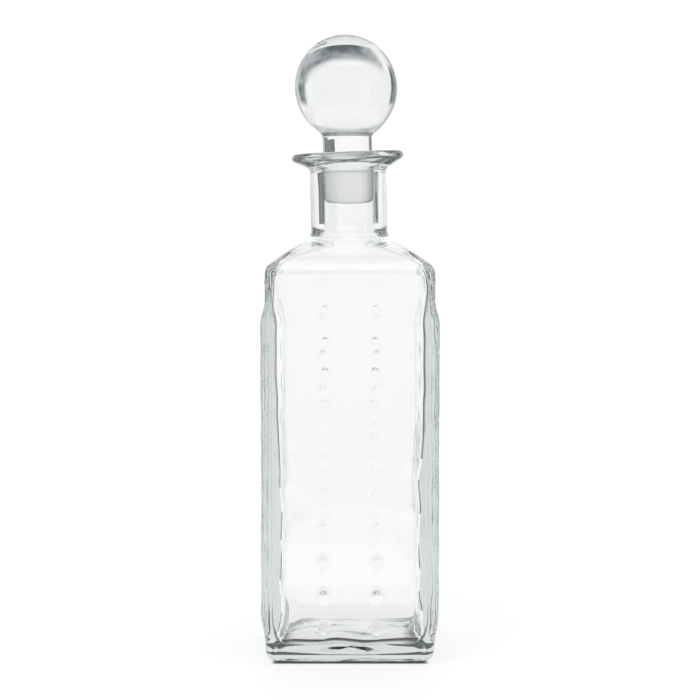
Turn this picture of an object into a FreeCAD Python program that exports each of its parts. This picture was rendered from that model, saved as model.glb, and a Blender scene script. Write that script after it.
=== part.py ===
import FreeCAD, Part
import math
import os

# Square glass decanter with a ball stopper. Millimetres, +Z up, origin on the
# surface that the foot stands on, at the centre of the square body.

# Body: a rounded square with thicker posts at its corners
body_half_width = 40.5
body_corner_radius = 4.5
foot_edge_radius = 6.0
foot_corner_radius = 2.0
post_proud = 2.2
post_corner_radius = 6.0
post_ramp_width = 4.5
field_half_width = 31.0
post_foot_start = 13.0
post_foot_full = 22.0
post_head_full = 163.0
post_head_end = 175.0

# Beads standing on the four faces, in two columns on each
bead_radius = 3.0
bead_height = 1.4
bead_column_offset = 12.8
bead_rows = 11
bead_top_row_height = 182.0
bead_pitch = 16.5

# Shoulder: a straight slope between the square body and the round neck
shoulder_slope_degrees = 33.4
shoulder_edge_radius = 6.0
shoulder_neck_radius = 6.0
shoulder_base_height = 187.2
arc_steps = 5

# Neck and lip
neck_radius = 18.7
lip_radius = 27.3
lip_top = 245.2
lip_edge_radius = 2.3
lip_under_slope_degrees = 27.0
lip_cove_radius = 3.8

# Inside of the bottle
wall = 4.3
wall_low = 6.5
wall_full_height = 160.0
wall_low_height = 75.0
cavity_corner_radius = 3.0
floor_height = 8.0
floor_edge_radius = 8.0
floor_corner_radius = 2.5
floor_dome_rise = 2.5
foot_dome_rise = 3.5
foot_dome_rim_radius = 38.0
bore_radius = 12.4

# Ground seat in the neck, a cone that widens upwards
seat_low = 226.0
seat_high = 242.2
seat_growth = 0.05
mouth_radius = 3.0

# Stopper: ball, shank and ground plug in one piece
plug_clearance = 0.05
plug_bottom = 219.9
plug_side_low = 223.4
plug_side_high = 241.4
plug_end_flat_radius = 9.6
plug_end_flat_height = 220.6
plug_corner_radius_point = 11.7
plug_corner_height_point = 221.4
shank_radius = 12.1
shank_bottom = 244.4
ball_radius = 25.1
ball_height = 277.1
ball_fillet_radius = 2.0

# Worked out from the above
post_half_width = body_half_width + post_proud
cavity_half_width = body_half_width - wall
cavity_low_half_width = body_half_width - wall_low
slope = math.radians(shoulder_slope_degrees)
circle_split = math.radians(22.5)
cutter_margin = 5.0


def vector(x, y, z):
    """A point or direction in space."""
    return FreeCAD.Vector(x, y, z)


def rounded_square_wire(half_width, corner_radius, height):
    """A level square outline with round corners, as four lines and four arcs."""
    flat = half_width - corner_radius
    bulge = flat + corner_radius / math.sqrt(2.0)
    edges = []
    for quarter in range(4):
        turn = FreeCAD.Rotation(vector(0, 0, 1), 90.0 * quarter)
        start = turn.multVec(vector(half_width, -flat, height))
        middle = turn.multVec(vector(half_width, flat, height))
        corner = turn.multVec(vector(bulge, bulge, height))
        end = turn.multVec(vector(flat, half_width, height))
        edges.append(Part.LineSegment(start, middle).toShape())
        edges.append(Part.Arc(middle, corner, end).toShape())
    return Part.Wire(edges)


def split_circle_wire(radius, height):
    """A level circle as eight equal arcs, so that it lofts to a rounded square."""
    edges = []
    for eighth in range(8):
        first = (2 * eighth - 1) * circle_split
        points = []
        for step in range(3):
            angle = first + step * circle_split
            points.append(vector(radius * math.cos(angle), radius * math.sin(angle), height))
        edges.append(Part.Arc(*points).toShape())
    return Part.Wire(edges)


def square_tower(levels):
    """A solid through level rounded squares, as (half width, corner radius, height)."""
    wires = []
    for half_width, corner_radius, height in levels:
        wires.append(rounded_square_wire(half_width, corner_radius, height))
    return Part.makeLoft(wires, True, True)


def bottom_levels(half_width, corner_radius, edge_radius, low_corner_radius, bottom):
    """Levels that turn from a flat bottom up into an upright wall."""
    levels = []
    for step in range(arc_steps + 1):
        angle = math.pi / 2 * step / arc_steps
        inset = edge_radius * (1 - math.sin(angle))
        corner = max(low_corner_radius, corner_radius - inset)
        height = bottom + edge_radius * (1 - math.cos(angle))
        levels.append((half_width - inset, corner, height))
    return levels


def revolve(edges):
    """A solid of revolution about Z from a closed outline in the XZ plane."""
    face = Part.Face(Part.Wire(edges))
    return face.revolve(vector(0, 0, 0), vector(0, 0, 1), 360)


def line(start, end):
    """A straight edge between two (radius, height) points."""
    return Part.LineSegment(vector(start[0], 0, start[1]), vector(end[0], 0, end[1])).toShape()


def arc(start, middle, end):
    """A round edge through three (radius, height) points."""
    points = [vector(radius, 0, height) for radius, height in (start, middle, end)]
    return Part.Arc(*points).toShape()


def point_on_circle(centre, radius, angle):
    """The (radius, height) point at an angle on a circle in the XZ plane."""
    return (centre[0] + radius * math.cos(angle), centre[1] + radius * math.sin(angle))


def shoulder_profile(half_width, base_height, top_radius, edge_radius, neck_fillet):
    """Half widths and heights up the shoulder, and how many of them are square.

    The profile turns from upright into the slope on an edge radius, runs
    straight, and turns upright again on a hollow radius into the neck.
    """
    turn = math.pi / 2 - slope
    edge_tangent = edge_radius * math.tan(turn / 2)
    neck_tangent = neck_fillet * math.tan(turn / 2)
    edge_centre = (half_width - edge_radius, base_height)
    corner_height = base_height + edge_tangent
    neck_corner = corner_height + (half_width - top_radius) * math.tan(slope)
    neck_centre = (top_radius + neck_fillet, neck_corner + neck_tangent)
    profile = []
    for step in range(arc_steps + 1):
        profile.append(point_on_circle(edge_centre, edge_radius, turn * step / arc_steps))
    square_count = len(profile)
    for step in range(arc_steps + 1):
        angle = math.pi + turn * (1 - step / arc_steps)
        profile.append(point_on_circle(neck_centre, neck_fillet, angle))
    return profile, square_count


def shoulder(half_width, corner_radius, profile, square_count):
    """A solid that turns from a rounded square into a circle as it rises."""
    round_width = profile[square_count][0]
    wires = []
    for index, (width, height) in enumerate(profile):
        if index < square_count:
            share = (width - round_width) / (half_width - round_width)
            flat = (half_width - corner_radius) * share
            wires.append(rounded_square_wire(width, width - flat, height))
        else:
            wires.append(split_circle_wire(width, height))
    return Part.makeLoft(wires, True, True)


def corner_posts():
    """The proud section of the body, with its four face fields cut back."""
    posts = square_tower([
        (body_half_width, body_corner_radius, post_foot_start),
        (post_half_width, post_corner_radius, post_foot_full),
        (post_half_width, post_corner_radius, post_head_full),
        (body_half_width, body_corner_radius, post_head_end),
    ])
    outer_half = field_half_width + post_ramp_width
    cutters = []
    for quarter in range(4):
        turn = FreeCAD.Rotation(vector(0, 0, 1), 90.0 * quarter)
        corners = [
            (body_half_width, -field_half_width),
            (body_half_width, field_half_width),
            (post_half_width, outer_half),
            (post_half_width + post_proud, outer_half),
            (post_half_width + post_proud, -outer_half),
            (post_half_width, -outer_half),
        ]
        outline = [turn.multVec(vector(x, y, post_foot_start - cutter_margin)) for x, y in corners]
        face = Part.Face(Part.makePolygon(outline + outline[:1]))
        tall = post_head_end - post_foot_start + 2 * cutter_margin
        cutters.append(face.extrude(vector(0, 0, tall)))
    return posts.cut(cutters)


def beads():
    """Balls sunk into the four faces, so that a low round cap of each stands out."""
    ball_size = (bead_radius ** 2 + bead_height ** 2) / (2 * bead_height)
    centre_distance = body_half_width + bead_height - ball_size
    balls = []
    for quarter in range(4):
        turn = FreeCAD.Rotation(vector(0, 0, 1), 90.0 * quarter)
        for side in (-1, 1):
            for row in range(bead_rows):
                height = bead_top_row_height - row * bead_pitch
                centre = turn.multVec(vector(centre_distance, side * bead_column_offset, height))
                balls.append(Part.makeSphere(ball_size, centre))
    return balls


def neck_and_lip(bottom):
    """The neck and its spread lip, solid right through."""
    under_slope = math.radians(lip_under_slope_degrees)
    right_angle = math.pi / 2
    edge_centre = (lip_radius - lip_edge_radius, lip_top - lip_edge_radius)
    edge_low = point_on_circle(edge_centre, lip_edge_radius, under_slope - right_angle)
    meeting_height = edge_low[1] - (edge_low[0] - neck_radius) * math.tan(under_slope)
    tangent = lip_cove_radius * math.tan((right_angle - under_slope) / 2)
    neck_end = (neck_radius, meeting_height - tangent)
    cove_centre = (neck_radius + lip_cove_radius, neck_end[1])
    cove_end = point_on_circle(cove_centre, lip_cove_radius, right_angle + under_slope)
    cove_middle_angle = (math.pi + right_angle + under_slope) / 2
    edges = [
        line((0, bottom), (neck_radius, bottom)),
        line((neck_radius, bottom), neck_end),
        arc(neck_end, point_on_circle(cove_centre, lip_cove_radius, cove_middle_angle), cove_end),
        line(cove_end, edge_low),
        arc(edge_low, (lip_radius, edge_centre[1]), (edge_centre[0], lip_top)),
        line((edge_centre[0], lip_top), (0, lip_top)),
        line((0, lip_top), (0, bottom)),
    ]
    return revolve(edges)


def neck_bore(bottom):
    """The hollow of the neck: plain bore, ground seat and rounded mouth."""
    mouth_start_radius = bore_radius + seat_growth * (seat_high - seat_low)
    centre = (mouth_start_radius + mouth_radius, seat_high)
    mouth_middle_angle = math.pi * 3 / 4
    mouth_end = (centre[0], lip_top)
    above = lip_top + mouth_radius
    edges = [
        line((0, bottom), (bore_radius, bottom)),
        line((bore_radius, bottom), (bore_radius, seat_low)),
        line((bore_radius, seat_low), (mouth_start_radius, seat_high)),
        arc(
            (mouth_start_radius, seat_high),
            point_on_circle(centre, mouth_radius, mouth_middle_angle),
            mouth_end,
        ),
        line(mouth_end, (mouth_end[0], above)),
        line((mouth_end[0], above), (0, above)),
        line((0, above), (0, bottom)),
    ]
    return revolve(edges)


def dome(rim_radius, rise, height):
    """A whole ball whose cap stands up from a level circle by the rise."""
    ball_size = (rim_radius ** 2 + rise ** 2) / (2 * rise)
    return Part.makeSphere(ball_size, vector(0, 0, height + rise - ball_size))


def bottle_outside():
    """The bottle as if it were solid glass."""
    levels = bottom_levels(
        body_half_width,
        body_corner_radius,
        foot_edge_radius,
        foot_corner_radius,
        0,
    )
    levels.append((body_half_width, body_corner_radius, shoulder_base_height))
    body = square_tower(levels)
    profile, square_count = shoulder_profile(
        body_half_width,
        shoulder_base_height,
        neck_radius,
        shoulder_edge_radius,
        shoulder_neck_radius,
    )
    top = shoulder(body_half_width, body_corner_radius, profile, square_count)
    neck = neck_and_lip(profile[-1][1])
    outside = body.fuse([top, neck, corner_posts()] + beads())
    return outside.cut(dome(foot_dome_rim_radius, foot_dome_rise, 0))


def bottle_inside():
    """The hollow of the bottle, from the domed floor up through the mouth."""
    profile, square_count = shoulder_profile(
        cavity_half_width,
        shoulder_base_height - wall * math.tan(slope) / 2,
        bore_radius,
        shoulder_edge_radius,
        shoulder_neck_radius,
    )
    levels = bottom_levels(
        cavity_low_half_width,
        cavity_corner_radius,
        floor_edge_radius,
        floor_corner_radius,
        floor_height,
    )
    levels.append((cavity_low_half_width, cavity_corner_radius, wall_low_height))
    levels.append((cavity_half_width, cavity_corner_radius, wall_full_height))
    levels.append((cavity_half_width, cavity_corner_radius, profile[0][1]))
    cavity = square_tower(levels)
    cavity = cavity.cut(dome(cavity_low_half_width, floor_dome_rise, floor_height))
    top = shoulder(cavity_half_width, cavity_corner_radius, profile, square_count)
    return cavity.fuse([top, neck_bore(profile[-1][1])])


def make_bottle():
    """The moulded bottle, one piece of glass."""
    return bottle_outside().cut(bottle_inside())


def make_stopper():
    """The ball stopper, one piece of solid glass with a ground plug."""
    low = bore_radius + seat_growth * (plug_side_low - seat_low) - plug_clearance
    high = bore_radius + seat_growth * (plug_side_high - seat_low) - plug_clearance
    fillet_centre_radius = shank_radius + ball_fillet_radius
    drop = math.sqrt((ball_radius + ball_fillet_radius) ** 2 - fillet_centre_radius ** 2)
    fillet_centre = (fillet_centre_radius, ball_height - drop)
    fillet_angle = math.atan2(drop, -fillet_centre_radius)
    fillet_start = (shank_radius, fillet_centre[1])
    fillet_middle = point_on_circle(fillet_centre, ball_fillet_radius, (math.pi + fillet_angle) / 2)
    fillet_end = point_on_circle(fillet_centre, ball_fillet_radius, fillet_angle)
    plug_end = (plug_end_flat_radius, plug_end_flat_height)
    plug_corner = (plug_corner_radius_point, plug_corner_height_point)
    edges = [
        line((0, plug_bottom), plug_end),
        arc(plug_end, plug_corner, (low, plug_side_low)),
        line((low, plug_side_low), (high, plug_side_high)),
        line((high, plug_side_high), (shank_radius, shank_bottom)),
        line((shank_radius, shank_bottom), fillet_start),
        arc(fillet_start, fillet_middle, fillet_end),
        arc(fillet_end, (ball_radius, ball_height), (0, ball_height + ball_radius)),
        line((0, ball_height + ball_radius), (0, plug_bottom)),
    ]
    return revolve(edges)


os.makedirs("parts", exist_ok=True)
pieces = {
    "decanter_bottle": make_bottle(),
    "ball_stopper": make_stopper(),
}
for name, shape in pieces.items():
    solid = shape.Solids[0]
    box = solid.BoundBox
    print(
        name,
        "solids", len(shape.Solids),
        "valid", solid.isValid(),
        "cubic cm", round(solid.Volume / 1000, 1),
        "size", round(box.XLength, 2), round(box.YLength, 2), round(box.ZLength, 2),
    )
    solid.exportStep("parts/" + name + ".step")
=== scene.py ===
import logging
import math
from dataclasses import dataclass
from enum import Enum
from typing import Any, Callable, Sequence

import bpy
from mathutils import Matrix, Vector, noise


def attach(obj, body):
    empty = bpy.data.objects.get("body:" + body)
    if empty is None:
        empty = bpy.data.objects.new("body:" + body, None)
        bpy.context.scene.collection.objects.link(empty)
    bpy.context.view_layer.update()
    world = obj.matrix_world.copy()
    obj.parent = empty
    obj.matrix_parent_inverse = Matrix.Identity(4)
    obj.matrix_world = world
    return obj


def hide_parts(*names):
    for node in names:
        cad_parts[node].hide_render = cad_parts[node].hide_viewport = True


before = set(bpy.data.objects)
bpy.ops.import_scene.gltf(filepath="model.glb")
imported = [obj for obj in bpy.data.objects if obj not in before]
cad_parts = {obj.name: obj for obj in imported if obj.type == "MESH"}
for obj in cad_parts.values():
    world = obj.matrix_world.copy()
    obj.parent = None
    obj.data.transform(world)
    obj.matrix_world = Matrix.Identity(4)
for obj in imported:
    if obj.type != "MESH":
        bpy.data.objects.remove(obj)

log = logging.getLogger("decanter")
MM = 0.001
Point = tuple[float, float, float]
Colour = tuple[float, float, float, float]


def smooth_step(low: float, high: float, value: float) -> float:
    """Rises smoothly from 0 at low to 1 at high.

    Args:
        low: The value where the step begins.
        high: The value where it ends; below low, the step falls instead.
        value: The place to read.

    Returns:
        A share from 0 to 1.
    """
    share = min(1.0, max(0.0, (value - low) / (high - low)))
    return share * share * (3.0 - 2.0 * share)


def blend(first: float, second: float, share: float) -> float:
    """Goes from first to second as share goes from 0 to 1."""
    return first + (second - first) * share


def ripple(place: Point, size: float) -> float:
    """A smooth unevenness in space, the same on every run.

    Args:
        place: Where to read it, in metres.
        size: The width of one swell, in metres.

    Returns:
        A height from about -1 to 1.
    """
    return noise.noise(Vector(place) / size)


@dataclass(frozen=True)
class Swell:
    """One layer of a surface's unevenness.

    A wide or tall value below 1 draws the swells out across or upward, and an offset
    keeps two layers from repeating each other.
    """

    depth: float
    size: float
    wide: float = 1.0
    tall: float = 1.0
    offset: Point = (0.0, 0.0, 0.0)

    def at(self, x: float, y: float, z: float) -> float:
        """Its height at a place."""
        right, back, up = self.offset
        place = (x * self.wide + right, y * self.wide + back, z * self.tall + up)
        return self.depth * ripple(place, self.size)


class Wire:
    """A number socket of a node tree, so that shader maths reads as arithmetic."""

    def __init__(self, net: "Net", socket: bpy.types.NodeSocket) -> None:
        """Holds the socket and the net that it belongs to."""
        self.net = net
        self.socket = socket

    def _math(self, operation: str, *values: Any) -> "Wire":
        """Adds one Math node.

        Args:
            operation: The Math node's operation.
            *values: Its inputs, numbers or wires.

        Returns:
            The node's result.
        """
        inputs = dict(enumerate(values))
        return self.net.wire("ShaderNodeMath", {"operation": operation}, inputs)

    def __add__(self, other: Any) -> "Wire":
        """Wire plus a number or wire."""
        return self._math("ADD", self, other)

    __radd__ = __add__

    def __sub__(self, other: Any) -> "Wire":
        """Wire minus a number or wire."""
        return self._math("SUBTRACT", self, other)

    def __rsub__(self, other: Any) -> "Wire":
        """A number minus the wire."""
        return self._math("SUBTRACT", other, self)

    def __mul__(self, other: Any) -> "Wire":
        """Wire times a number or wire."""
        return self._math("MULTIPLY", self, other)

    __rmul__ = __mul__

    def __truediv__(self, other: Any) -> "Wire":
        """Wire divided by a number or wire."""
        return self._math("DIVIDE", self, other)

    def step(self, low: float, high: float) -> "Wire":
        """Rises smoothly from 0 at low to 1 at high, or falls if high is lower."""
        if high < low:
            return 1.0 - self.step(high, low)
        settings = {"interpolation_type": "SMOOTHSTEP"}
        inputs = {"Value": self, "From Min": low, "From Max": high}
        return self.net.wire("ShaderNodeMapRange", settings, inputs)

    def band(self, low: float, high: float, soft: float) -> "Wire":
        """Is 1 between low and high, and 0 outside, with soft edges."""
        return self.step(low - soft, low + soft) * self.step(high + soft, high - soft)


class Net:
    """A node tree being wired up."""

    def __init__(self, tree: bpy.types.NodeTree) -> None:
        """Empties the tree."""
        self.tree = tree
        tree.nodes.clear()

    def node(self, kind: str, settings: dict[str, Any], inputs: dict[Any, Any]) -> bpy.types.Node:
        """Adds a node of any kind.

        Args:
            kind: The node's type name.
            settings: Its properties, set before its sockets, and a ramp's stops.
            inputs: Its sockets by name or number, as values, wires or sockets.

        Returns:
            The node.
        """
        made = self.tree.nodes.new(kind)
        for name, value in settings.items():
            if name == "stops":
                self.fill_ramp(made.color_ramp, value)
            else:
                setattr(made, name, value)
        for name, value in inputs.items():
            if isinstance(value, Wire):
                value = value.socket
            if isinstance(value, bpy.types.NodeSocket):
                self.tree.links.new(value, made.inputs[name])
            else:
                made.inputs[name].default_value = value
        return made

    @staticmethod
    def fill_ramp(ramp: bpy.types.ColorRamp, stops: Sequence[tuple[float, float]]) -> None:
        """Gives a ramp its stops, as pairs of a place from 0 to 1 and a grey level."""
        ramp.interpolation = "EASE"
        for index, (place, level) in enumerate(stops):
            stop = ramp.elements[index] if index < 2 else ramp.elements.new(place)
            stop.position = place
            stop.color = (level, level, level, 1.0)

    def wire(self, kind: str, settings: dict[str, Any], inputs: dict[Any, Any], output: Any = 0) -> Wire:
        """Adds a node and returns one of its outputs as a wire."""
        return Wire(self, self.node(kind, settings, inputs).outputs[output])

    def swirl(self, place: bpy.types.NodeSocket, size: float, detail: float = 2.0) -> Wire:
        """A cloudy pattern whose swells are size metres wide, from 0 to 1."""
        inputs = {"Vector": place, "Scale": 1.0 / size, "Detail": detail}
        return self.wire("ShaderNodeTexNoise", {}, inputs, "Fac")


class Skin(Enum):
    """How the surface of a glass piece is finished."""

    FIRE_POLISHED = "fire_polished"
    GROUND_PLUG = "ground_plug"


@dataclass(frozen=True)
class Glass:
    """Clear soda glass, faintly grey-green where it is thick."""

    name: str
    skin: Skin
    ground_low: float = 0.0
    ground_high: float = 0.0
    index: float = 1.51
    tint: Colour = (0.74, 0.785, 0.77, 1.0)
    tint_density: float = 10.0
    polish: float = 0.004
    haze: float = 0.012
    haze_size: float = 8.4 * MM
    haze_levels: tuple[float, float] = (0.5, 0.8)
    ground_roughness: float = 0.46
    ground_variation: float = 0.12
    ground_edge: float = 0.15 * MM
    draw_size: float = 14.0 * MM
    draw_depth: float = 0.02 * MM
    grit_size: float = 0.35 * MM
    grit_depth: float = 0.03 * MM

    def material(self) -> bpy.types.Material:
        """Builds the glass.

        Returns:
            A material whose roughness and bump vary over the surface.
        """
        made = bpy.data.materials.new(self.name)
        made.use_nodes = True
        net = Net(made.node_tree)
        place = net.node("ShaderNodeTexCoord", {}, {}).outputs["Object"]
        drawn = net.swirl(place, self.draw_size, detail=1.0)
        hazy = net.swirl(place, self.haze_size, detail=4.0).step(*self.haze_levels)
        roughness = self.polish + self.haze * hazy
        height = drawn * self.draw_depth
        if self.skin is Skin.GROUND_PLUG:
            up = net.wire("ShaderNodeSeparateXYZ", {}, {0: place}, "Z")
            ground = up.band(self.ground_low, self.ground_high, self.ground_edge)
            grit = net.swirl(place, self.grit_size, detail=3.0)
            roughness = roughness + ground * (self.ground_roughness - self.ground_variation * grit)
            height = height + ground * grit * self.grit_depth
        bump = net.node("ShaderNodeBump", {}, {"Strength": 1.0, "Distance": 1.0, "Height": height})
        shader = net.node("ShaderNodeBsdfPrincipled", {}, {
            "Base Color": (1.0, 1.0, 1.0, 1.0),
            "Transmission Weight": 1.0,
            "IOR": self.index,
            "Roughness": roughness,
            "Normal": bump.outputs[0],
        })
        body = net.node("ShaderNodeVolumeAbsorption", {}, {
            "Color": self.tint,
            "Density": self.tint_density,
        })
        net.node("ShaderNodeOutputMaterial", {}, {
            "Surface": shader.outputs[0],
            "Volume": body.outputs[0],
        })
        return made


def ring_mesh(name: str, rings: Sequence[Sequence[Point]], start: Point, end: Point) -> bpy.types.Object:
    """Makes a closed smooth mesh from rings, capped at a point at each end.

    Args:
        name: The object's name.
        rings: Rings of points, all of one count, running up the outside.
        start: The point that closes the first ring.
        end: The point that closes the last ring.

    Returns:
        The object, linked to the scene.
    """
    count = len(rings[0])
    points = [start] + [point for ring in rings for point in ring] + [end]
    faces: list[tuple[int, ...]] = []
    last = 1 + (len(rings) - 1) * count
    for side in range(count):
        after = (side + 1) % count
        faces.append((0, 1 + after, 1 + side))
        faces.append((len(points) - 1, last + side, last + after))
    for row in range(len(rings) - 1):
        low = 1 + row * count
        for side in range(count):
            after = (side + 1) % count
            faces.append((low + side, low + after, low + count + after, low + count + side))
    mesh = bpy.data.meshes.new(name)
    mesh.from_pydata(points, [], faces)
    mesh.shade_smooth()
    mesh.update()
    made = bpy.data.objects.new(name, mesh)
    bpy.context.scene.collection.objects.link(made)
    return made


def arc_points(centre: tuple[float, float], radius: float, first: float, last: float,
               steps: int) -> list[tuple[float, float]]:
    """Points along an arc of an outline, ends included.

    Args:
        centre: The arc's centre, as (width, height).
        radius: Its radius.
        first: The angle where it starts, in degrees from outward, anticlockwise.
        last: The angle where it ends.
        steps: How many pieces the arc is cut into.

    Returns:
        The points as (width, height).
    """
    points = []
    for step in range(steps + 1):
        angle = math.radians(blend(first, last, step / steps))
        points.append((centre[0] + radius * math.cos(angle), centre[1] + radius * math.sin(angle)))
    return points


@dataclass
class Lean:
    """The handmade lean of the neck, which the stopper shares."""

    start: float = 188.0 * MM
    slope: float = -0.021

    def shift(self, height: float) -> float:
        """How far a height stands aside from the true axis."""
        return self.slope * max(0.0, height - self.start)


@dataclass(frozen=True)
class Change:
    """An amount that comes in between two heights."""

    amount: float
    start: float
    end: float

    def at(self, height: float) -> float:
        """How much of it there is at a height."""
        return self.amount * smooth_step(self.start, self.end, height)


@dataclass
class Bottle:
    """The moulded bottle, outside and inside, as one closed skin of glass."""

    finish: Glass
    lean: Lean
    half: float = 40.5 * MM
    corner: float = 4.5 * MM
    foot_edge: float = 7.0 * MM
    foot_corner: float = 2.0 * MM
    post: float = 2.2 * MM
    post_corner: float = 6.0 * MM
    field: float = 31.0 * MM
    ramp: float = 4.5 * MM
    post_foot: tuple[float, float] = (8.0 * MM, 24.0 * MM)
    post_head: tuple[float, float] = (175.0 * MM, 163.0 * MM)
    face_swell: Swell = Swell(0.05 * MM, 26.0 * MM)
    post_swell: Swell = Swell(0.02 * MM, 26.0 * MM)
    post_wave: Swell = Swell(0.26 * MM, 8.0 * MM, tall=0.6)
    post_streak: Swell = Swell(0.09 * MM, 2.6 * MM, tall=0.25, offset=(0.0, 1.0, 0.0))
    bead_offset: float = 12.8 * MM
    bead_radius: float = 3.4 * MM
    bead_height: float = 1.25 * MM
    bead_fullness: float = 1.25
    bead_top: float = 182.0 * MM
    bead_pitch: float = 16.5 * MM
    bead_rows: int = 11
    shoulder_base: float = 187.2 * MM
    shoulder_slope: float = 33.4
    shoulder_edge: float = 6.0 * MM
    ridge_keep: float = 0.6
    neck_fillet: float = 3.8 * MM
    bore_turn: float = 15.0 * MM
    neck: float = 18.7 * MM
    lip: float = 27.3 * MM
    lip_top: float = 245.2 * MM
    lip_edge: float = 2.3 * MM
    lip_under_slope: float = 27.0
    lip_cove: float = 3.8 * MM
    lip_tilt: float = 0.04
    tilt_start: float = 8.0 * MM
    tilt_bore: float = 1.06
    wall: float = 4.3 * MM
    side_thinning: float = 0.8 * MM
    left_wall: tuple[Change, ...] = (
        Change(2.6 * MM, 150.0 * MM, 60.0 * MM),
        Change(-1.4 * MM, 32.0 * MM, 16.0 * MM),
    )
    right_wall: tuple[Change, ...] = (
        Change(2.2 * MM, 112.0 * MM, 84.0 * MM),
        Change(-1.6 * MM, 34.0 * MM, 16.0 * MM),
    )
    end_wall: Change = Change(2.2 * MM, 160.0 * MM, 75.0 * MM)
    side_blend: float = 8.0 * MM
    body_end: tuple[float, float] = (4.0 * MM, 10.0 * MM)
    wall_wave: float = 0.05 * MM
    corner_wave: float = 0.95 * MM
    low_corner_wave: Change = Change(0.6 * MM, 120.0 * MM, 90.0 * MM)
    corner_span: tuple[float, float] = (30.0, 43.0)
    inner_wave: Swell = Swell(1.0, 16.0 * MM, wide=0.5)
    fine_inner_wave: Swell = Swell(0.35, 6.0 * MM, offset=(0.0, 0.0, 1.0))
    cavity_corner: float = 2.4 * MM
    floor_corner: float = 2.2 * MM
    floor: float = 8.0 * MM
    floor_edge: float = 8.0 * MM
    floor_rise: float = 2.5 * MM
    floor_swell: Swell = Swell(0.8 * MM, 14.0 * MM)
    floor_settle: float = 0.3
    foot_swell: Swell = Swell(0.5 * MM, 13.0 * MM, offset=(0.0, 0.0, 1.0))
    foot_gap: float = 0.2 * MM
    foot_rise: float = 2.6 * MM
    foot_rim: float = 38.0 * MM
    bore: float = 12.4 * MM
    inner_share: float = 0.9
    seat_low: float = 226.0 * MM
    seat_high: float = 242.2 * MM
    seat_growth: float = 0.05
    mouth: float = 3.0 * MM
    middle_columns: tuple[float, ...] = (2.5, 5.0, 7.5, 9.0)
    bead_columns: int = 11
    bead_gap: float = 0.66 * MM
    outer_columns: tuple[float, ...] = (18.0, 21.0, 24.5, 28.0, 30.4)
    ramp_columns: tuple[float, ...] = (0.15, 0.4, 0.65, 0.9)
    row_margin: float = 0.2 * MM
    corner_columns: int = 12
    bead_rings: tuple[float, ...] = (0.0, 0.75, 1.5, 2.3, 3.3)
    gap_rings: tuple[float, ...] = (5.5, 8.25, 11.0)
    foot_rings: int = 4
    arc_rings: int = 8
    slope_rings: int = 6
    neck_rings: int = 6
    mouth_rings: int = 6
    seat_rings: int = 5
    lip_rings: int = 9
    cove_rings: int = 5
    under_shares: tuple[float, ...] = (0.33, 0.66)
    top_shares: tuple[float, ...] = (0.15, 0.4, 0.6, 0.85)
    cavity_rings: int = 44
    foot_shares: tuple[float, ...] = (0.08, 0.2, 0.35, 0.5, 0.65, 0.8, 0.92)
    floor_shares: tuple[float, ...] = (0.9, 0.78, 0.64, 0.5, 0.35, 0.2, 0.08)

    def directions(self) -> list[float]:
        """The bearings of the mesh's columns, closest together across the beads.

        Returns:
            Angles in radians, once round.
        """
        offsets = [value * MM for value in self.middle_columns]
        for step in range(self.bead_columns):
            offsets.append(self.bead_offset + (step - self.bead_columns // 2) * self.bead_gap)
        offsets += [value * MM for value in self.outer_columns]
        offsets += [self.field + self.ramp * share for share in self.ramp_columns]
        offsets.append(self.half - self.corner - self.row_margin)
        bearings = [math.atan2(offset, self.half) for offset in offsets]
        last = bearings[-1]
        for step in range(1, self.corner_columns):
            bearings.append(blend(last, math.pi / 4, step / self.corner_columns))
        half_face = [0.0] + bearings
        face = [-angle for angle in reversed(bearings)] + half_face + [math.pi / 4]
        return [quarter * math.pi / 2 + angle for quarter in range(4) for angle in face]

    @staticmethod
    def reach(angle: float, half: float, corner: float) -> float:
        """How far a rounded square reaches from its centre.

        Args:
            angle: The bearing off the middle of the nearest face, in radians.
            half: Half the square's width.
            corner: Its corner radius.

        Returns:
            The distance to the outline.
        """
        flat = half - corner
        cosine, sine = math.cos(angle), abs(math.sin(angle))
        if half * sine <= flat * cosine:
            return half / cosine
        along = flat * (cosine + sine)
        return along + math.sqrt(max(0.0, along * along + corner * corner - 2.0 * flat * flat))

    def foot_lift(self, x: float, y: float) -> float:
        """How far the arched underside stands off the table at a place."""
        ball = (self.foot_rim ** 2 + self.foot_rise ** 2) / (2.0 * self.foot_rise)
        across = x * x + y * y
        return max(0.0, math.sqrt(ball * ball - across) - (ball - self.foot_rise))

    def bead(self, x: float, z: float) -> float:
        """How far the beads of one face stand out at a place on it.

        Args:
            x: The distance from the face's centre line.
            z: The height.

        Returns:
            The height of the bead's surface above the face.
        """
        row = round((self.bead_top - z) / self.bead_pitch)
        row = min(self.bead_rows - 1, max(0, row))
        away = math.hypot(abs(x) - self.bead_offset, z - (self.bead_top - row * self.bead_pitch))
        share = min(1.0, away / self.bead_radius)
        return self.bead_height * 0.5 * (1.0 + math.cos(math.pi * share ** self.bead_fullness))

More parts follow.
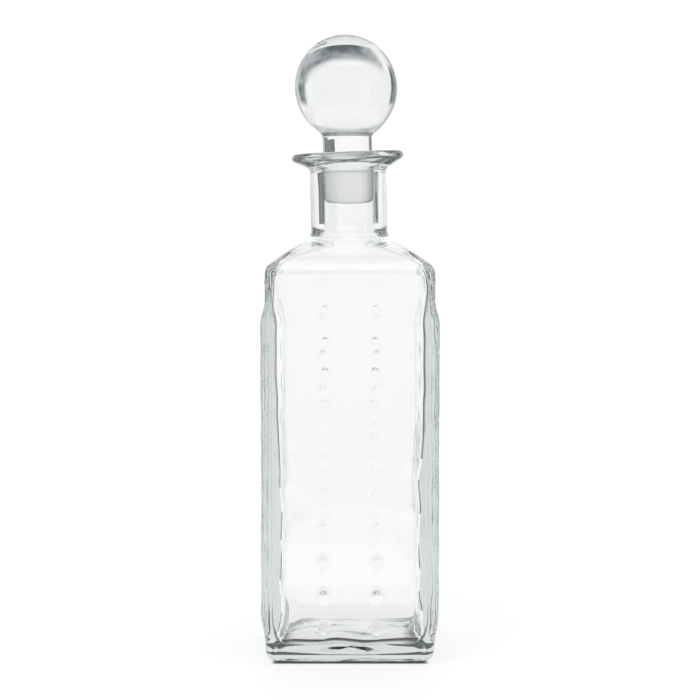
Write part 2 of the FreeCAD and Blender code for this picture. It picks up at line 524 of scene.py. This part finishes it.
    def outside(self, angle: float, half: float, corner: float, z: float) -> Point:
        """A point of the outer surface.

        Args:
            angle: The column's bearing.
            half: The half width of the plain body at this height.
            corner: Its corner radius.
            z: The height.

        Returns:
            The point, with posts, beads and unevenness.
        """
        quarter = round(angle / (math.pi / 2))
        off = angle - quarter * math.pi / 2
        plain = self.reach(off, half, corner)
        proud = self.reach(off, half + self.post, corner + self.post_corner - self.corner)
        tall = smooth_step(*self.post_foot, z) * smooth_step(*self.post_head, z)
        wide = smooth_step(self.field, self.field + self.ramp, abs(plain * math.sin(off)))
        far = blend(plain, proud, tall * wide)
        across, out = far * math.sin(off), far * math.cos(off)
        if z < self.shoulder_base:
            out += self.bead(across, z)
        turn = Matrix.Rotation(quarter * math.pi / 2, 2)
        spot = turn @ Vector((out, across))
        x, y = spot
        lump = self.face_swell.at(x, y, z)
        for swell in (self.post_swell, self.post_wave, self.post_streak):
            lump += wide * tall * swell.at(x, y, z)
        spot = spot * (1.0 + lump / max(far, MM))
        return (spot.x, spot.y, z)

    def inside(self, angle: float, half: float, corner: float, z: float) -> Point:
        """A point of the inner surface, wavier than the outside, most at the corners.

        Args:
            angle: The column's bearing.
            half: The half width of the cavity at this height.
            corner: Its corner radius.
            z: The height.

        Returns:
            The point.
        """
        quarter = round(angle / (math.pi / 2))
        off = angle - quarter * math.pi / 2
        far = self.reach(off, half, corner)
        across, out = far * math.sin(off), far * math.cos(off)
        turn = Matrix.Rotation(quarter * math.pi / 2, 2)
        spot = turn @ Vector((out, across))
        above, below = self.body_end
        body = smooth_step(self.shoulder_base + above, self.shoulder_base - below, z)
        sides, ends = self.wall_growth(z, spot.x)
        spot.x *= 1.0 - body * sides / self.half
        spot.y *= 1.0 - body * ends / self.half
        cornered = smooth_step(*self.corner_span, math.degrees(abs(off)))
        corner_depth = self.corner_wave + self.low_corner_wave.at(z)
        depth = blend(self.wall_wave, corner_depth, cornered * body)
        wave = self.inner_wave.at(spot.x, spot.y, z)
        wave += cornered * self.fine_inner_wave.at(spot.x, spot.y, z)
        spot = spot * (1.0 + depth * wave / max(far, MM))
        return (spot.x, spot.y, z)

    def floor_point(self, angle: float, half: float, corner: float, z: float) -> Point:
        """A point of the cavity's wavy floor, or of the turn up into its wall."""
        x, y, z = self.inside(angle, half, corner, z)
        start, end = self.floor_edge, self.floor_edge * self.floor_settle
        settled = smooth_step(self.floor + start, self.floor + end, z)
        return (x, y, z + settled * self.floor_swell.at(x, y, 0.0))

    def wall_growth(self, z: float, x: float) -> tuple[float, float]:
        """How much thicker the body's walls are than the shoulder's, or thinner below 0.

        Args:
            z: The height.
            x: The place across, whose sign picks the left or the right wall.

        Returns:
            The growth of that side wall, and of the front and back walls.
        """
        left, right = (
            sum(change.at(z) for change in changes) - self.side_thinning
            for changes in (self.left_wall, self.right_wall)
        )
        rightness = smooth_step(-self.side_blend, self.side_blend, x)
        return (blend(left, right, rightness), self.end_wall.at(z))

    def body_heights(self) -> list[float]:
        """The heights of the rings up the body, closest together across the beads."""
        heights: list[float] = []
        steps = self.bead_rings
        for row in range(self.bead_rows):
            middle = self.bead_top - row * self.bead_pitch
            heights += [middle + step * MM for step in steps]
            heights += [middle - step * MM for step in steps[1:]]
            if row < self.bead_rows - 1:
                heights += [middle - step * MM for step in self.gap_rings]
        low = min(heights)
        count = self.foot_rings
        heights += [blend(self.foot_edge, low, step / count) for step in range(1, count)]
        highest = self.shoulder_base - self.row_margin
        return sorted(height for height in heights if height < highest)

    def shoulder_outline(self, half: float, base: float, neck: float, edge: float,
                         hollow: float) -> tuple[list[tuple[float, float]], int]:
        """The outline from the upright body, up the slope and into the neck.

        Args:
            half: The half width of the body below.
            base: The height where the outline leaves upright.
            neck: The radius of the neck above.
            edge: The radius of the turn into the slope.
            hollow: The radius of the turn into the neck.

        Returns:
            Points as (width, height), and how many belong to the square part.
        """
        slope = math.radians(self.shoulder_slope)
        turn = math.pi / 2 - slope
        corner_height = base + edge * math.tan(turn / 2)
        neck_corner = corner_height + (half - neck) * math.tan(slope)
        lower = arc_points((half - edge, base), edge, 0.0, math.degrees(turn), self.slope_rings)
        centre = (neck + hollow, neck_corner + hollow * math.tan(turn / 2))
        upper = arc_points(centre, hollow, 180.0 + math.degrees(turn), 180.0, self.slope_rings + 1)
        first, last = lower[-1], upper[0]
        between = [
            (blend(first[0], last[0], step / self.slope_rings),
             blend(first[1], last[1], step / self.slope_rings))
            for step in range(1, self.slope_rings)
        ]
        return lower + between + upper, len(lower) + len(between)

    def shoulder_rings(self, surface: Callable[..., Point], angles: Sequence[float], half: float,
                       corner: float, outline: tuple[list[tuple[float, float]], int]) -> list[list[Point]]:
        """Rings that turn from a rounded square into a circle.

        Args:
            surface: The method that gives a point of the surface.
            angles: The columns' bearings.
            half: The half width of the square at the foot of the shoulder.
            corner: Its corner radius.
            outline: What shoulder_outline gave.

        Returns:
            The rings, from the bottom up.
        """
        points, square_count = outline
        round_width = points[square_count][0]
        rings = []
        for width, height in points:
            share = max(0.0, (width - round_width) / (half - round_width))
            flat = (half - corner) * share * (1.0 + self.ridge_keep * (1.0 - share))
            rings.append([surface(angle, width, width - flat, height) for angle in angles])
        return rings

    def outline_above(self, start: float) -> list[tuple[float, float]]:
        """The round outline up the neck, over the lip and down to the bore.

        Args:
            start: The height where the neck leaves the shoulder.

        Returns:
            Points as (radius, height).
        """
        slope = self.lip_under_slope
        edge_centre = (self.lip - self.lip_edge, self.lip_top - self.lip_edge)
        edge = arc_points(edge_centre, self.lip_edge, slope - 90.0, 90.0, self.lip_rings)
        meeting = edge[0][1] - (edge[0][0] - self.neck) * math.tan(math.radians(slope))
        neck_end = meeting - self.lip_cove * math.tan(math.radians((90.0 - slope) / 2))
        cove_centre = (self.neck + self.lip_cove, neck_end)
        cove = arc_points(cove_centre, self.lip_cove, 180.0, 90.0 + slope, self.cove_rings)
        neck = [
            (self.neck, blend(start, neck_end, step / self.neck_rings))
            for step in range(1, self.neck_rings)
        ]
        painted_shadow = [
            (blend(cove[-1][0], edge[0][0], share), blend(cove[-1][1], edge[0][1], share))
            for share in self.under_shares
        ]
        mouth_low = self.bore + self.seat_growth * (self.seat_high - self.seat_low)
        mouth_centre = (mouth_low + self.mouth, self.seat_high)
        mouth = arc_points(mouth_centre, self.mouth, 90.0, 180.0, self.mouth_rings)
        flat = [
            (blend(edge[-1][0], mouth[0][0], share), self.lip_top)
            for share in self.top_shares
        ]
        seat = [
            (blend(mouth_low, self.bore, step / self.seat_rings),
             blend(self.seat_high, self.seat_low, step / self.seat_rings))
            for step in range(1, self.seat_rings + 1)
        ]
        return neck + cove + painted_shadow + edge + flat + mouth + seat

    def tilted(self, point: Point) -> Point:
        """Leans a point with the neck, and tips it with the lip."""
        x, y, z = point
        tip = self.lip_tilt * smooth_step(self.seat_high - self.tilt_start, self.seat_high, z)
        outer = smooth_step(self.bore * self.tilt_bore, self.neck, math.hypot(x, y))
        return (x + self.lean.shift(z), y, z + tip * outer * x)

    def build(self) -> bpy.types.Object:
        """Makes the bottle's mesh, dresses it and fixes it to its body.

        Returns:
            The bottle.
        """
        angles = self.directions()
        rings: list[list[Point]] = []
        foot_half = self.half - self.foot_edge
        for share in self.foot_shares:
            rings.append(self.foot_ring(angles, foot_half * share, self.foot_corner * share, 0.0))
        foot_centre = (foot_half, self.foot_edge)
        for width, height in arc_points(foot_centre, self.foot_edge, -90.0, 0.0, self.arc_rings):
            corner = max(self.foot_corner, self.corner + width - self.half)
            rings.append(self.foot_ring(angles, width, corner, height))
        for height in self.body_heights():
            rings.append([self.outside(angle, self.half, self.corner, height) for angle in angles])
        outline = self.shoulder_outline(self.half, self.shoulder_base, self.neck,
                                        self.shoulder_edge, self.neck_fillet)
        rings += self.shoulder_rings(self.outside, angles, self.half, self.corner, outline)
        for radius, height in self.outline_above(outline[0][-1][1]):
            surface = self.inside if radius < self.neck * self.inner_share else self.outside
            rings.append([surface(angle, radius, radius, height) for angle in angles])
        inner_half = self.half - self.wall
        inner_base = self.shoulder_base - self.wall * math.tan(math.radians(self.shoulder_slope)) / 2
        inner = self.shoulder_outline(inner_half, inner_base, self.bore,
                                      self.shoulder_edge, self.bore_turn)
        for step in range(1, self.seat_rings):
            height = blend(self.seat_low, inner[0][-1][1], step / self.seat_rings)
            rings.append([self.inside(angle, self.bore, self.bore, height) for angle in angles])
        rings += reversed(self.shoulder_rings(self.inside, angles, inner_half,
                                              self.cavity_corner, inner))
        floor_top = self.floor + self.floor_edge
        for step in range(1, self.cavity_rings):
            height = blend(inner_base, floor_top, step / self.cavity_rings)
            rings.append([self.inside(angle, inner_half, self.cavity_corner, height) for angle in angles])
        edge_half = inner_half - self.floor_edge
        floor_centre = (edge_half, floor_top)
        for width, height in arc_points(floor_centre, self.floor_edge, 0.0, -90.0, self.arc_rings):
            corner = max(self.floor_corner, self.cavity_corner + width - inner_half)
            rings.append([self.floor_point(angle, width, corner, height) for angle in angles])
        for share in self.floor_shares:
            height = self.floor + self.floor_rise * (1.0 - share * share)
            rings.append([
                self.floor_point(angle, edge_half * share, self.floor_corner * share, height)
                for angle in angles
            ])
        rings = [[self.tilted(point) for point in ring] for ring in rings]
        made = ring_mesh("bottle", rings, (0.0, 0.0, self.foot_rise),
                         (0.0, 0.0, self.floor + self.floor_rise))
        made.data.materials.append(self.finish.material())
        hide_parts("decanter_bottle")
        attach(made, "bottle")
        return made

    def foot_ring(self, angles: Sequence[float], half: float, corner: float, height: float) -> list[Point]:
        """A ring of the underside or of the foot's round edge.

        Args:
            angles: The columns' bearings.
            half: The ring's half width.
            corner: Its corner radius.
            height: Its height before the arch lifts it.

        Returns:
            The ring's points.
        """
        ring = []
        for angle in angles:
            x, y, z = self.outside(angle, half, corner, height)
            uneven = max(0.0, self.foot_gap + self.foot_swell.at(x, y, 0.0))
            lift = (self.foot_lift(x, y) + uneven) * (1.0 - height / self.foot_edge) ** 2
            ring.append((x, y, z + lift))
        return ring


@dataclass
class Stopper:
    """The ball stopper: ball, shank and ground plug in one piece."""

    finish: Glass
    lean: Lean
    columns: int = 176
    plug_bottom: float = 219.9 * MM
    plug_low: float = 223.4 * MM
    plug_high: float = 241.4 * MM
    plug_gap: float = 0.05 * MM
    plug_end: float = 9.6 * MM
    seat_radius: float = 12.4 * MM
    seat_low: float = 226.0 * MM
    seat_growth: float = 0.05
    shank: float = 12.1 * MM
    shank_low: float = 244.4 * MM
    ball: float = 25.1 * MM
    ball_tall: float = 25.8 * MM
    ball_height: float = 276.4 * MM
    fillet: float = 2.0 * MM
    fillet_spread: float = 0.6
    end_hollow: float = 0.7 * MM
    end_shares: tuple[float, ...] = (0.1, 0.25, 0.45, 0.65, 0.85, 1.0)
    turn_rings: int = 6
    cone_rings: int = 16
    shank_rings: int = 8
    ball_rings: int = 72
    swell: Swell = Swell(0.16 * MM, 30.0 * MM)
    swell_radius: float = 5.0 * MM

    def plug_radius(self, height: float) -> float:
        """The radius of the ground cone at a height."""
        return self.seat_radius + self.seat_growth * (height - self.seat_low) - self.plug_gap

    def outline(self) -> list[tuple[float, float]]:
        """The stopper's outline from the end of the plug to the top of the ball.

        Returns:
            Points as (radius, height).
        """
        low, high = self.plug_radius(self.plug_low), self.plug_radius(self.plug_high)
        end = [
            (self.plug_end * share, self.plug_bottom + self.end_hollow * share * share)
            for share in self.end_shares
        ]
        turn = end[-1]
        curve = []
        for step in range(1, self.turn_rings + 1):
            angle = math.radians(blend(-90.0, 0.0, step / self.turn_rings))
            curve.append((
                turn[0] + (low - turn[0]) * math.cos(angle),
                self.plug_low + (self.plug_low - turn[1]) * math.sin(angle),
            ))
        cone = [
            (blend(low, high, step / self.cone_rings),
             blend(self.plug_low, self.plug_high, step / self.cone_rings))
            for step in range(1, self.cone_rings + 1)
        ]
        neck = []
        for step in range(1, self.turn_rings + 1):
            share = step / self.turn_rings
            neck.append((
                blend(high, self.shank, smooth_step(0.0, 1.0, share)),
                blend(self.plug_high, self.shank_low, share),
            ))
        first = -math.acos((self.shank + self.fillet * self.fillet_spread) / self.ball)
        last = math.pi / 2
        ball = []
        for step in range(self.ball_rings):
            angle = blend(first, last, step / self.ball_rings)
            ball.append((
                self.ball * math.cos(angle),
                self.ball_height + self.ball_tall * math.sin(angle),
            ))
        hollow_low = ball[0][1] - self.fillet
        hollow = []
        for step in range(1, self.turn_rings):
            share = step / self.turn_rings
            hollow.append((
                blend(self.shank, ball[0][0], share * share),
                blend(hollow_low, ball[0][1], share),
            ))
        shank = [
            (self.shank, blend(self.shank_low, hollow_low, step / self.shank_rings))
            for step in range(1, self.shank_rings + 1)
        ]
        return end + curve + cone + neck + shank + hollow + ball

    def build(self) -> bpy.types.Object:
        """Makes the stopper's mesh, dresses it and fixes it to its body.

        Returns:
            The stopper.
        """
        rings = []
        for radius, height in self.outline():
            round_share = smooth_step(self.shank_low, self.ball_height - self.ball_tall, height)
            ring = []
            for column in range(self.columns):
                angle = 2.0 * math.pi * column / self.columns
                x, y = radius * math.cos(angle), radius * math.sin(angle)
                swell = round_share * self.swell.at(x, y, height)
                far = 1.0 + swell / max(radius, self.swell_radius)
                ring.append((x * far + self.lean.shift(height), y * far, height))
            rings.append(ring)
        top = self.ball_height + self.ball_tall
        start = (self.lean.shift(self.plug_bottom), 0.0, self.plug_bottom)
        made = ring_mesh("stopper", rings, start, (self.lean.shift(top), 0.0, top))
        made.data.materials.append(self.finish.material())
        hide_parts("ball_stopper")
        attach(made, "stopper")
        return made


@dataclass(frozen=True)
class PanoramaRow:
    """One level row of the surroundings, from a height angle up to the next row's."""

    start: float
    soft: float
    stops: tuple[tuple[float, float], ...]


@dataclass(frozen=True)
class FloorCard:
    """Pale matt card that shines a little, with a painted contact shadow that darkens it right under the
    foot.
    """

    name: str = "floor_card"
    # Reaches and darker colours of the painted contact shadow under the foot, which lets most of the
    # middle off.
    shade: float = 37.0 * MM
    shade_edge: float = 1.5 * MM
    middle: float = 29.0 * MM
    middle_edge: float = 4.5 * MM
    middle_share: float = 0.95
    base: Colour = (0.3, 0.3, 0.3, 1.0)
    painted_shadow_colour: Colour = (0.12, 0.12, 0.13, 1.0)
    glow: Colour = (1.0, 1.0, 1.0, 1.0)
    painted_shadow_glow: Colour = (0.04, 0.04, 0.04, 1.0)
    glow_strength: float = 0.73
    roughness: float = 0.7

    def material(self) -> bpy.types.Material:
        """Builds the card.

        Returns:
            A material with a painted shadow, a dark square rim about the middle of the card, in both its
            colour and its glow.
        """
        made = bpy.data.materials.new(self.name)
        made.use_nodes = True
        net = Net(made.node_tree)
        place = net.node("ShaderNodeTexCoord", {}, {}).outputs["Object"]
        parts = net.node("ShaderNodeSeparateXYZ", {}, {0: place})
        x, y = (Wire(net, parts.outputs[axis]) for axis in range(2))
        # Painted contact shadow: a square rim under the foot's edge where the colour and the glow are
        # darkened, lighter again in the middle.
        outer, inner = (
            x.band(-reach, reach, edge) * y.band(-reach, reach, edge)
            for reach, edge in ((self.shade, self.shade_edge), (self.middle, self.middle_edge))
        )
        painted_shadow = outer * (1.0 - self.middle_share * inner)
        glow, base = (
            net.node("ShaderNodeMix", {"data_type": "RGBA"}, {0: painted_shadow, 6: plain, 7: shaded}).outputs[2]
            for plain, shaded in ((self.glow, self.painted_shadow_glow), (self.base, self.painted_shadow_colour))
        )
        shader = net.node("ShaderNodeBsdfPrincipled", {}, {
            "Base Color": base,
            "Roughness": self.roughness,
            "Emission Color": glow,
            "Emission Strength": self.glow_strength,
        })
        net.node("ShaderNodeOutputMaterial", {}, {"Surface": shader.outputs[0]})
        return made


@dataclass(frozen=True)
class Flag:
    """A small dark card that darkens one part of the glass."""

    name: str
    grey: float
    bearing: float
    distance: float
    width: float
    low: float
    high: float
    roughness: float = 0.9
    green_share: float = 1.06
    blue_share: float = 1.1

    def material(self) -> bpy.types.Material:
        """Builds the card's matt, faintly cool grey."""
        made = bpy.data.materials.new(self.name)
        made.use_nodes = True
        net = Net(made.node_tree)
        shader = net.node("ShaderNodeBsdfPrincipled", {}, {
            "Base Color": (self.grey, self.grey * self.green_share, self.grey * self.blue_share, 1.0),
            "Roughness": self.roughness,
        })
        net.node("ShaderNodeOutputMaterial", {}, {"Surface": shader.outputs[0]})
        return made


@dataclass(frozen=True)
class Softbox:
    """A square soft light."""

    name: str
    place: Point
    size: float
    power: float


@dataclass
class Studio:
    """The pale floor, the white surroundings, the soft lights and the camera."""

    distance: float = 1.0
    eye: float = 0.2317
    tilt: float = 4.78
    lens: float = 104.7
    floor_card: FloorCard = FloorCard()
    floor_radius: float = 0.36
    floor_sides: int = 96
    floor_drop: float = 0.2 * MM
    flags: tuple[Flag, ...] = (
        Flag("neck_flag", 0.33, -60.0, 91.0 * MM, 42.0 * MM, 200.0 * MM, 238.0 * MM),
        Flag("shank_flag", 0.4, 21.0, 48.0 * MM, 14.0 * MM, 245.0 * MM, 253.0 * MM),
    )
    softboxes: tuple[Softbox, ...] = (
        Softbox("key_softbox", (-0.7, -0.8, 1.2), 0.6, 4.0),
        Softbox("fill_softbox", (0.9, -0.5, 0.8), 0.5, 2.0),
    )
    aim: Point = (0.0, 0.0, 0.15)
    glass_bounces: int = 32
    other_bounces: int = 16
    backdrop: float = 1.06
    clutter_size: float = 0.22
    clutter_share: float = 2.4
    clutter_levels: tuple[float, float] = (0.9, 0.2)
    oval_middle: float = -5.0
    oval_reach: float = 50.0
    oval_fall: float = 23.0
    oval_rim: tuple[float, float] = (0.45, 1.25)
    oval_bearings: tuple[float, float] = (-38.0, 57.0)
    oval_soft: float = 4.0
    oval_top: tuple[float, float] = (1.0, -4.0)
    oval_bottom: tuple[float, float] = (-40.0, -18.0)
    oval_grey: float = 0.38
    shade_levels: tuple[float, float] = (0.8, 0.2)
    shade_tone: Colour = (0.86, 0.97, 1.0, 1.0)
    rows: tuple[PanoramaRow, ...] = (
        PanoramaRow(-90, 1, ((-180, 0.6), (180, 0.6))),
        PanoramaRow(-60, 4, (
            (-180, 0.25), (-66, 0.25), (-60, 1.0), (-38, 1.0), (-28, 0.55), (-8, 0.08), (16, 0.08),
            (54, 0.6), (64, 0.35), (122, 0.4), (126, 1.0), (144, 1.0), (148, 0.25), (180, 0.25),
        )),
        PanoramaRow(-22, 5, (
            (-180, 0.6), (-152, 0.6), (-138, 0.12), (-108, 0.1), (-99, 0.15), (-96, 1.0), (-84, 1.0),
            (-80, 0.06), (-67, 0.06), (-64, 0.12), (-60, 0.3), (-57, 0.15), (-53, 0.18), (-49, 1.02),
            (-20, 1.04), (30, 1.04), (38, 1.02), (44, 0.3), (54, 0.2), (59, 0.5), (90, 0.2),
            (120, 0.15), (126, 1.0), (144, 1.0), (150, 0.6), (180, 0.6),
        )),
        PanoramaRow(17, 4, (
            (-180, 0.2), (-100, 0.1), (-72, 0.3), (-58, 1.04), (58, 1.04), (72, 0.3), (100, 0.1),
            (180, 0.2),
        )),
        PanoramaRow(43, 4, (
            (-180, 1.6), (-130, 1.6), (-118, 0.5), (-20, 0.6), (40, 0.6), (118, 0.5), (130, 1.4),
            (180, 1.6),
        )),
        PanoramaRow(74, 5, ((-180, 0.9), (180, 0.9))),
    )

    def camera(self) -> None:
        """Stands the camera in front, level with the neck, looking slightly down."""
        data = bpy.data.cameras.new("camera")
        data.lens = self.lens
        data.sensor_width = 36.0
        data.clip_start = 0.01
        data.clip_end = 30.0
        made = bpy.data.objects.new("camera", data)
        made.location = (0.0, -self.distance, self.eye)
        made.rotation_euler = (math.radians(90.0 - self.tilt), 0.0, 0.0)
        bpy.context.scene.collection.objects.link(made)
        bpy.context.scene.camera = made

    def floor(self) -> None:
        """Lays a round pale table top under the foot."""
        points = []
        for side in range(self.floor_sides):
            angle = 2.0 * math.pi * side / self.floor_sides
            points.append((self.floor_radius * math.cos(angle), self.floor_radius * math.sin(angle), 0.0))
        mesh = bpy.data.meshes.new("floor")
        mesh.from_pydata(points, [], [tuple(range(self.floor_sides))])
        mesh.materials.append(self.floor_card.material())
        made = bpy.data.objects.new("floor", mesh)
        made.location = (0.0, 0.0, -self.floor_drop)
        bpy.context.scene.collection.objects.link(made)

    def stand_flag(self, flag: Flag) -> None:
        """Stands a small dark card behind the glass, where only the glass shows it."""
        bearing = math.radians(flag.bearing)
        middle = Vector((math.sin(bearing), math.cos(bearing), 0.0)) * flag.distance
        along = Vector((math.cos(bearing), -math.sin(bearing), 0.0)) * (flag.width / 2)
        points = [
            middle + along * side + Vector((0.0, 0.0, height))
            for side, height in ((-1, flag.low), (1, flag.low), (1, flag.high), (-1, flag.high))
        ]
        mesh = bpy.data.meshes.new(flag.name)
        mesh.from_pydata(points, [], [(0, 1, 2, 3)])
        mesh.materials.append(flag.material())
        made = bpy.data.objects.new(flag.name, mesh)
        made.visible_camera = False
        bpy.context.scene.collection.objects.link(made)

    def surroundings(self) -> None:
        """Fills the world with white, and with the darker parts of a studio."""
        world = bpy.data.worlds.new("surroundings")
        bpy.context.scene.world = world
        world.use_nodes = True
        net = Net(world.node_tree)
        ray = net.node("ShaderNodeTexCoord", {}, {}).outputs["Generated"]
        parts = net.node("ShaderNodeSeparateXYZ", {}, {0: ray})
        x, y, z = (Wire(net, parts.outputs[axis]) for axis in range(3))
        degrees = 180.0 / math.pi
        bearing = net.wire("ShaderNodeMath", {"operation": "ARCTAN2"}, {0: x, 1: y}) * degrees
        height = net.wire("ShaderNodeMath", {"operation": "ARCSINE"}, {0: z}) * degrees
        turned = (bearing + 180.0) / 360.0
        clutter = net.swirl(ray, self.clutter_size, detail=3.0)
        level: Any = 1.0
        for row in self.rows:
            stops = [((place + 180.0) / 360.0, grey) for place, grey in row.stops]
            around = net.wire("ShaderNodeValToRGB", {"stops": stops}, {0: turned})
            share = height.step(row.start - row.soft, row.start + row.soft)
            level = around * share + level * (1.0 - share)
        below = net.wire("ShaderNodeMath", {"operation": "MINIMUM"}, {0: height, 1: 0.0}) / self.oval_fall
        across = (bearing - self.oval_middle) / self.oval_reach
        oval = below * below + across * across
        outside = oval.step(*self.oval_rim) * bearing.band(*self.oval_bearings, self.oval_soft)
        outside = outside * height.step(*self.oval_top) * height.step(*self.oval_bottom)
        level = level * (1.0 - outside) + outside * self.oval_grey
        dark = level.step(*self.clutter_levels)
        level = level * (1.0 + self.clutter_share * (clutter - 0.5) * dark)
        seen = net.node("ShaderNodeLightPath", {}, {}).outputs["Is Camera Ray"]
        strength = net.wire("ShaderNodeMix", {"data_type": "FLOAT"}, {
            0: seen, 2: level, 3: self.backdrop,
        })
        tone = net.node("ShaderNodeMix", {"data_type": "RGBA"}, {
            0: strength.step(*self.shade_levels), 6: (1.0, 1.0, 1.0, 1.0), 7: self.shade_tone,
        }).outputs[2]
        shade = net.node("ShaderNodeBackground", {}, {"Color": tone, "Strength": strength})
        net.node("ShaderNodeOutputWorld", {}, {"Surface": shade.outputs[0]})

    def hang(self, softbox: Softbox) -> None:
        """Hangs a soft light, aimed at the middle of the decanter."""
        data = bpy.data.lights.new(softbox.name, "AREA")
        data.size = softbox.size
        data.energy = softbox.power
        made = bpy.data.objects.new(softbox.name, data)
        made.location = softbox.place
        toward = Vector(self.aim) - Vector(softbox.place)
        made.rotation_euler = toward.to_track_quat("-Z", "Y").to_euler()
        made.visible_glossy = False
        made.visible_transmission = False
        bpy.context.scene.collection.objects.link(made)

    def render_settings(self) -> None:
        """Lets light pass through enough layers of glass, and keeps whites plain."""
        scene = bpy.context.scene
        scene.view_settings.view_transform = "Standard"
        scene.cycles.max_bounces = self.glass_bounces
        scene.cycles.transmission_bounces = self.glass_bounces
        scene.cycles.glossy_bounces = self.other_bounces
        scene.cycles.transparent_max_bounces = self.other_bounces

    def build(self) -> None:
        """Sets up everything around the decanter."""
        self.camera()
        self.floor()
        for flag in self.flags:
            self.stand_flag(flag)
        self.surroundings()
        for softbox in self.softboxes:
            self.hang(softbox)
        self.render_settings()


def main() -> None:
    """Builds the studio and both pieces of glass, and reports each."""
    logging.basicConfig(level=logging.INFO, format="%(name)s: %(message)s")
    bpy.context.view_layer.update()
    Studio().build()
    lean = Lean()
    bottle_glass = Glass("bottle_glass_clear", Skin.FIRE_POLISHED, tint_density=19.0)
    stopper_glass = Glass("stopper_glass_ground", Skin.GROUND_PLUG,
                          ground_low=219.0 * MM, ground_high=240.0 * MM)
    for piece in (Bottle(bottle_glass, lean).build(), Stopper(stopper_glass, lean).build()):
        log.info("%s: %d points, %d faces", piece.name, len(piece.data.vertices), len(piece.data.polygons))


if __name__ == "__main__":
    main()
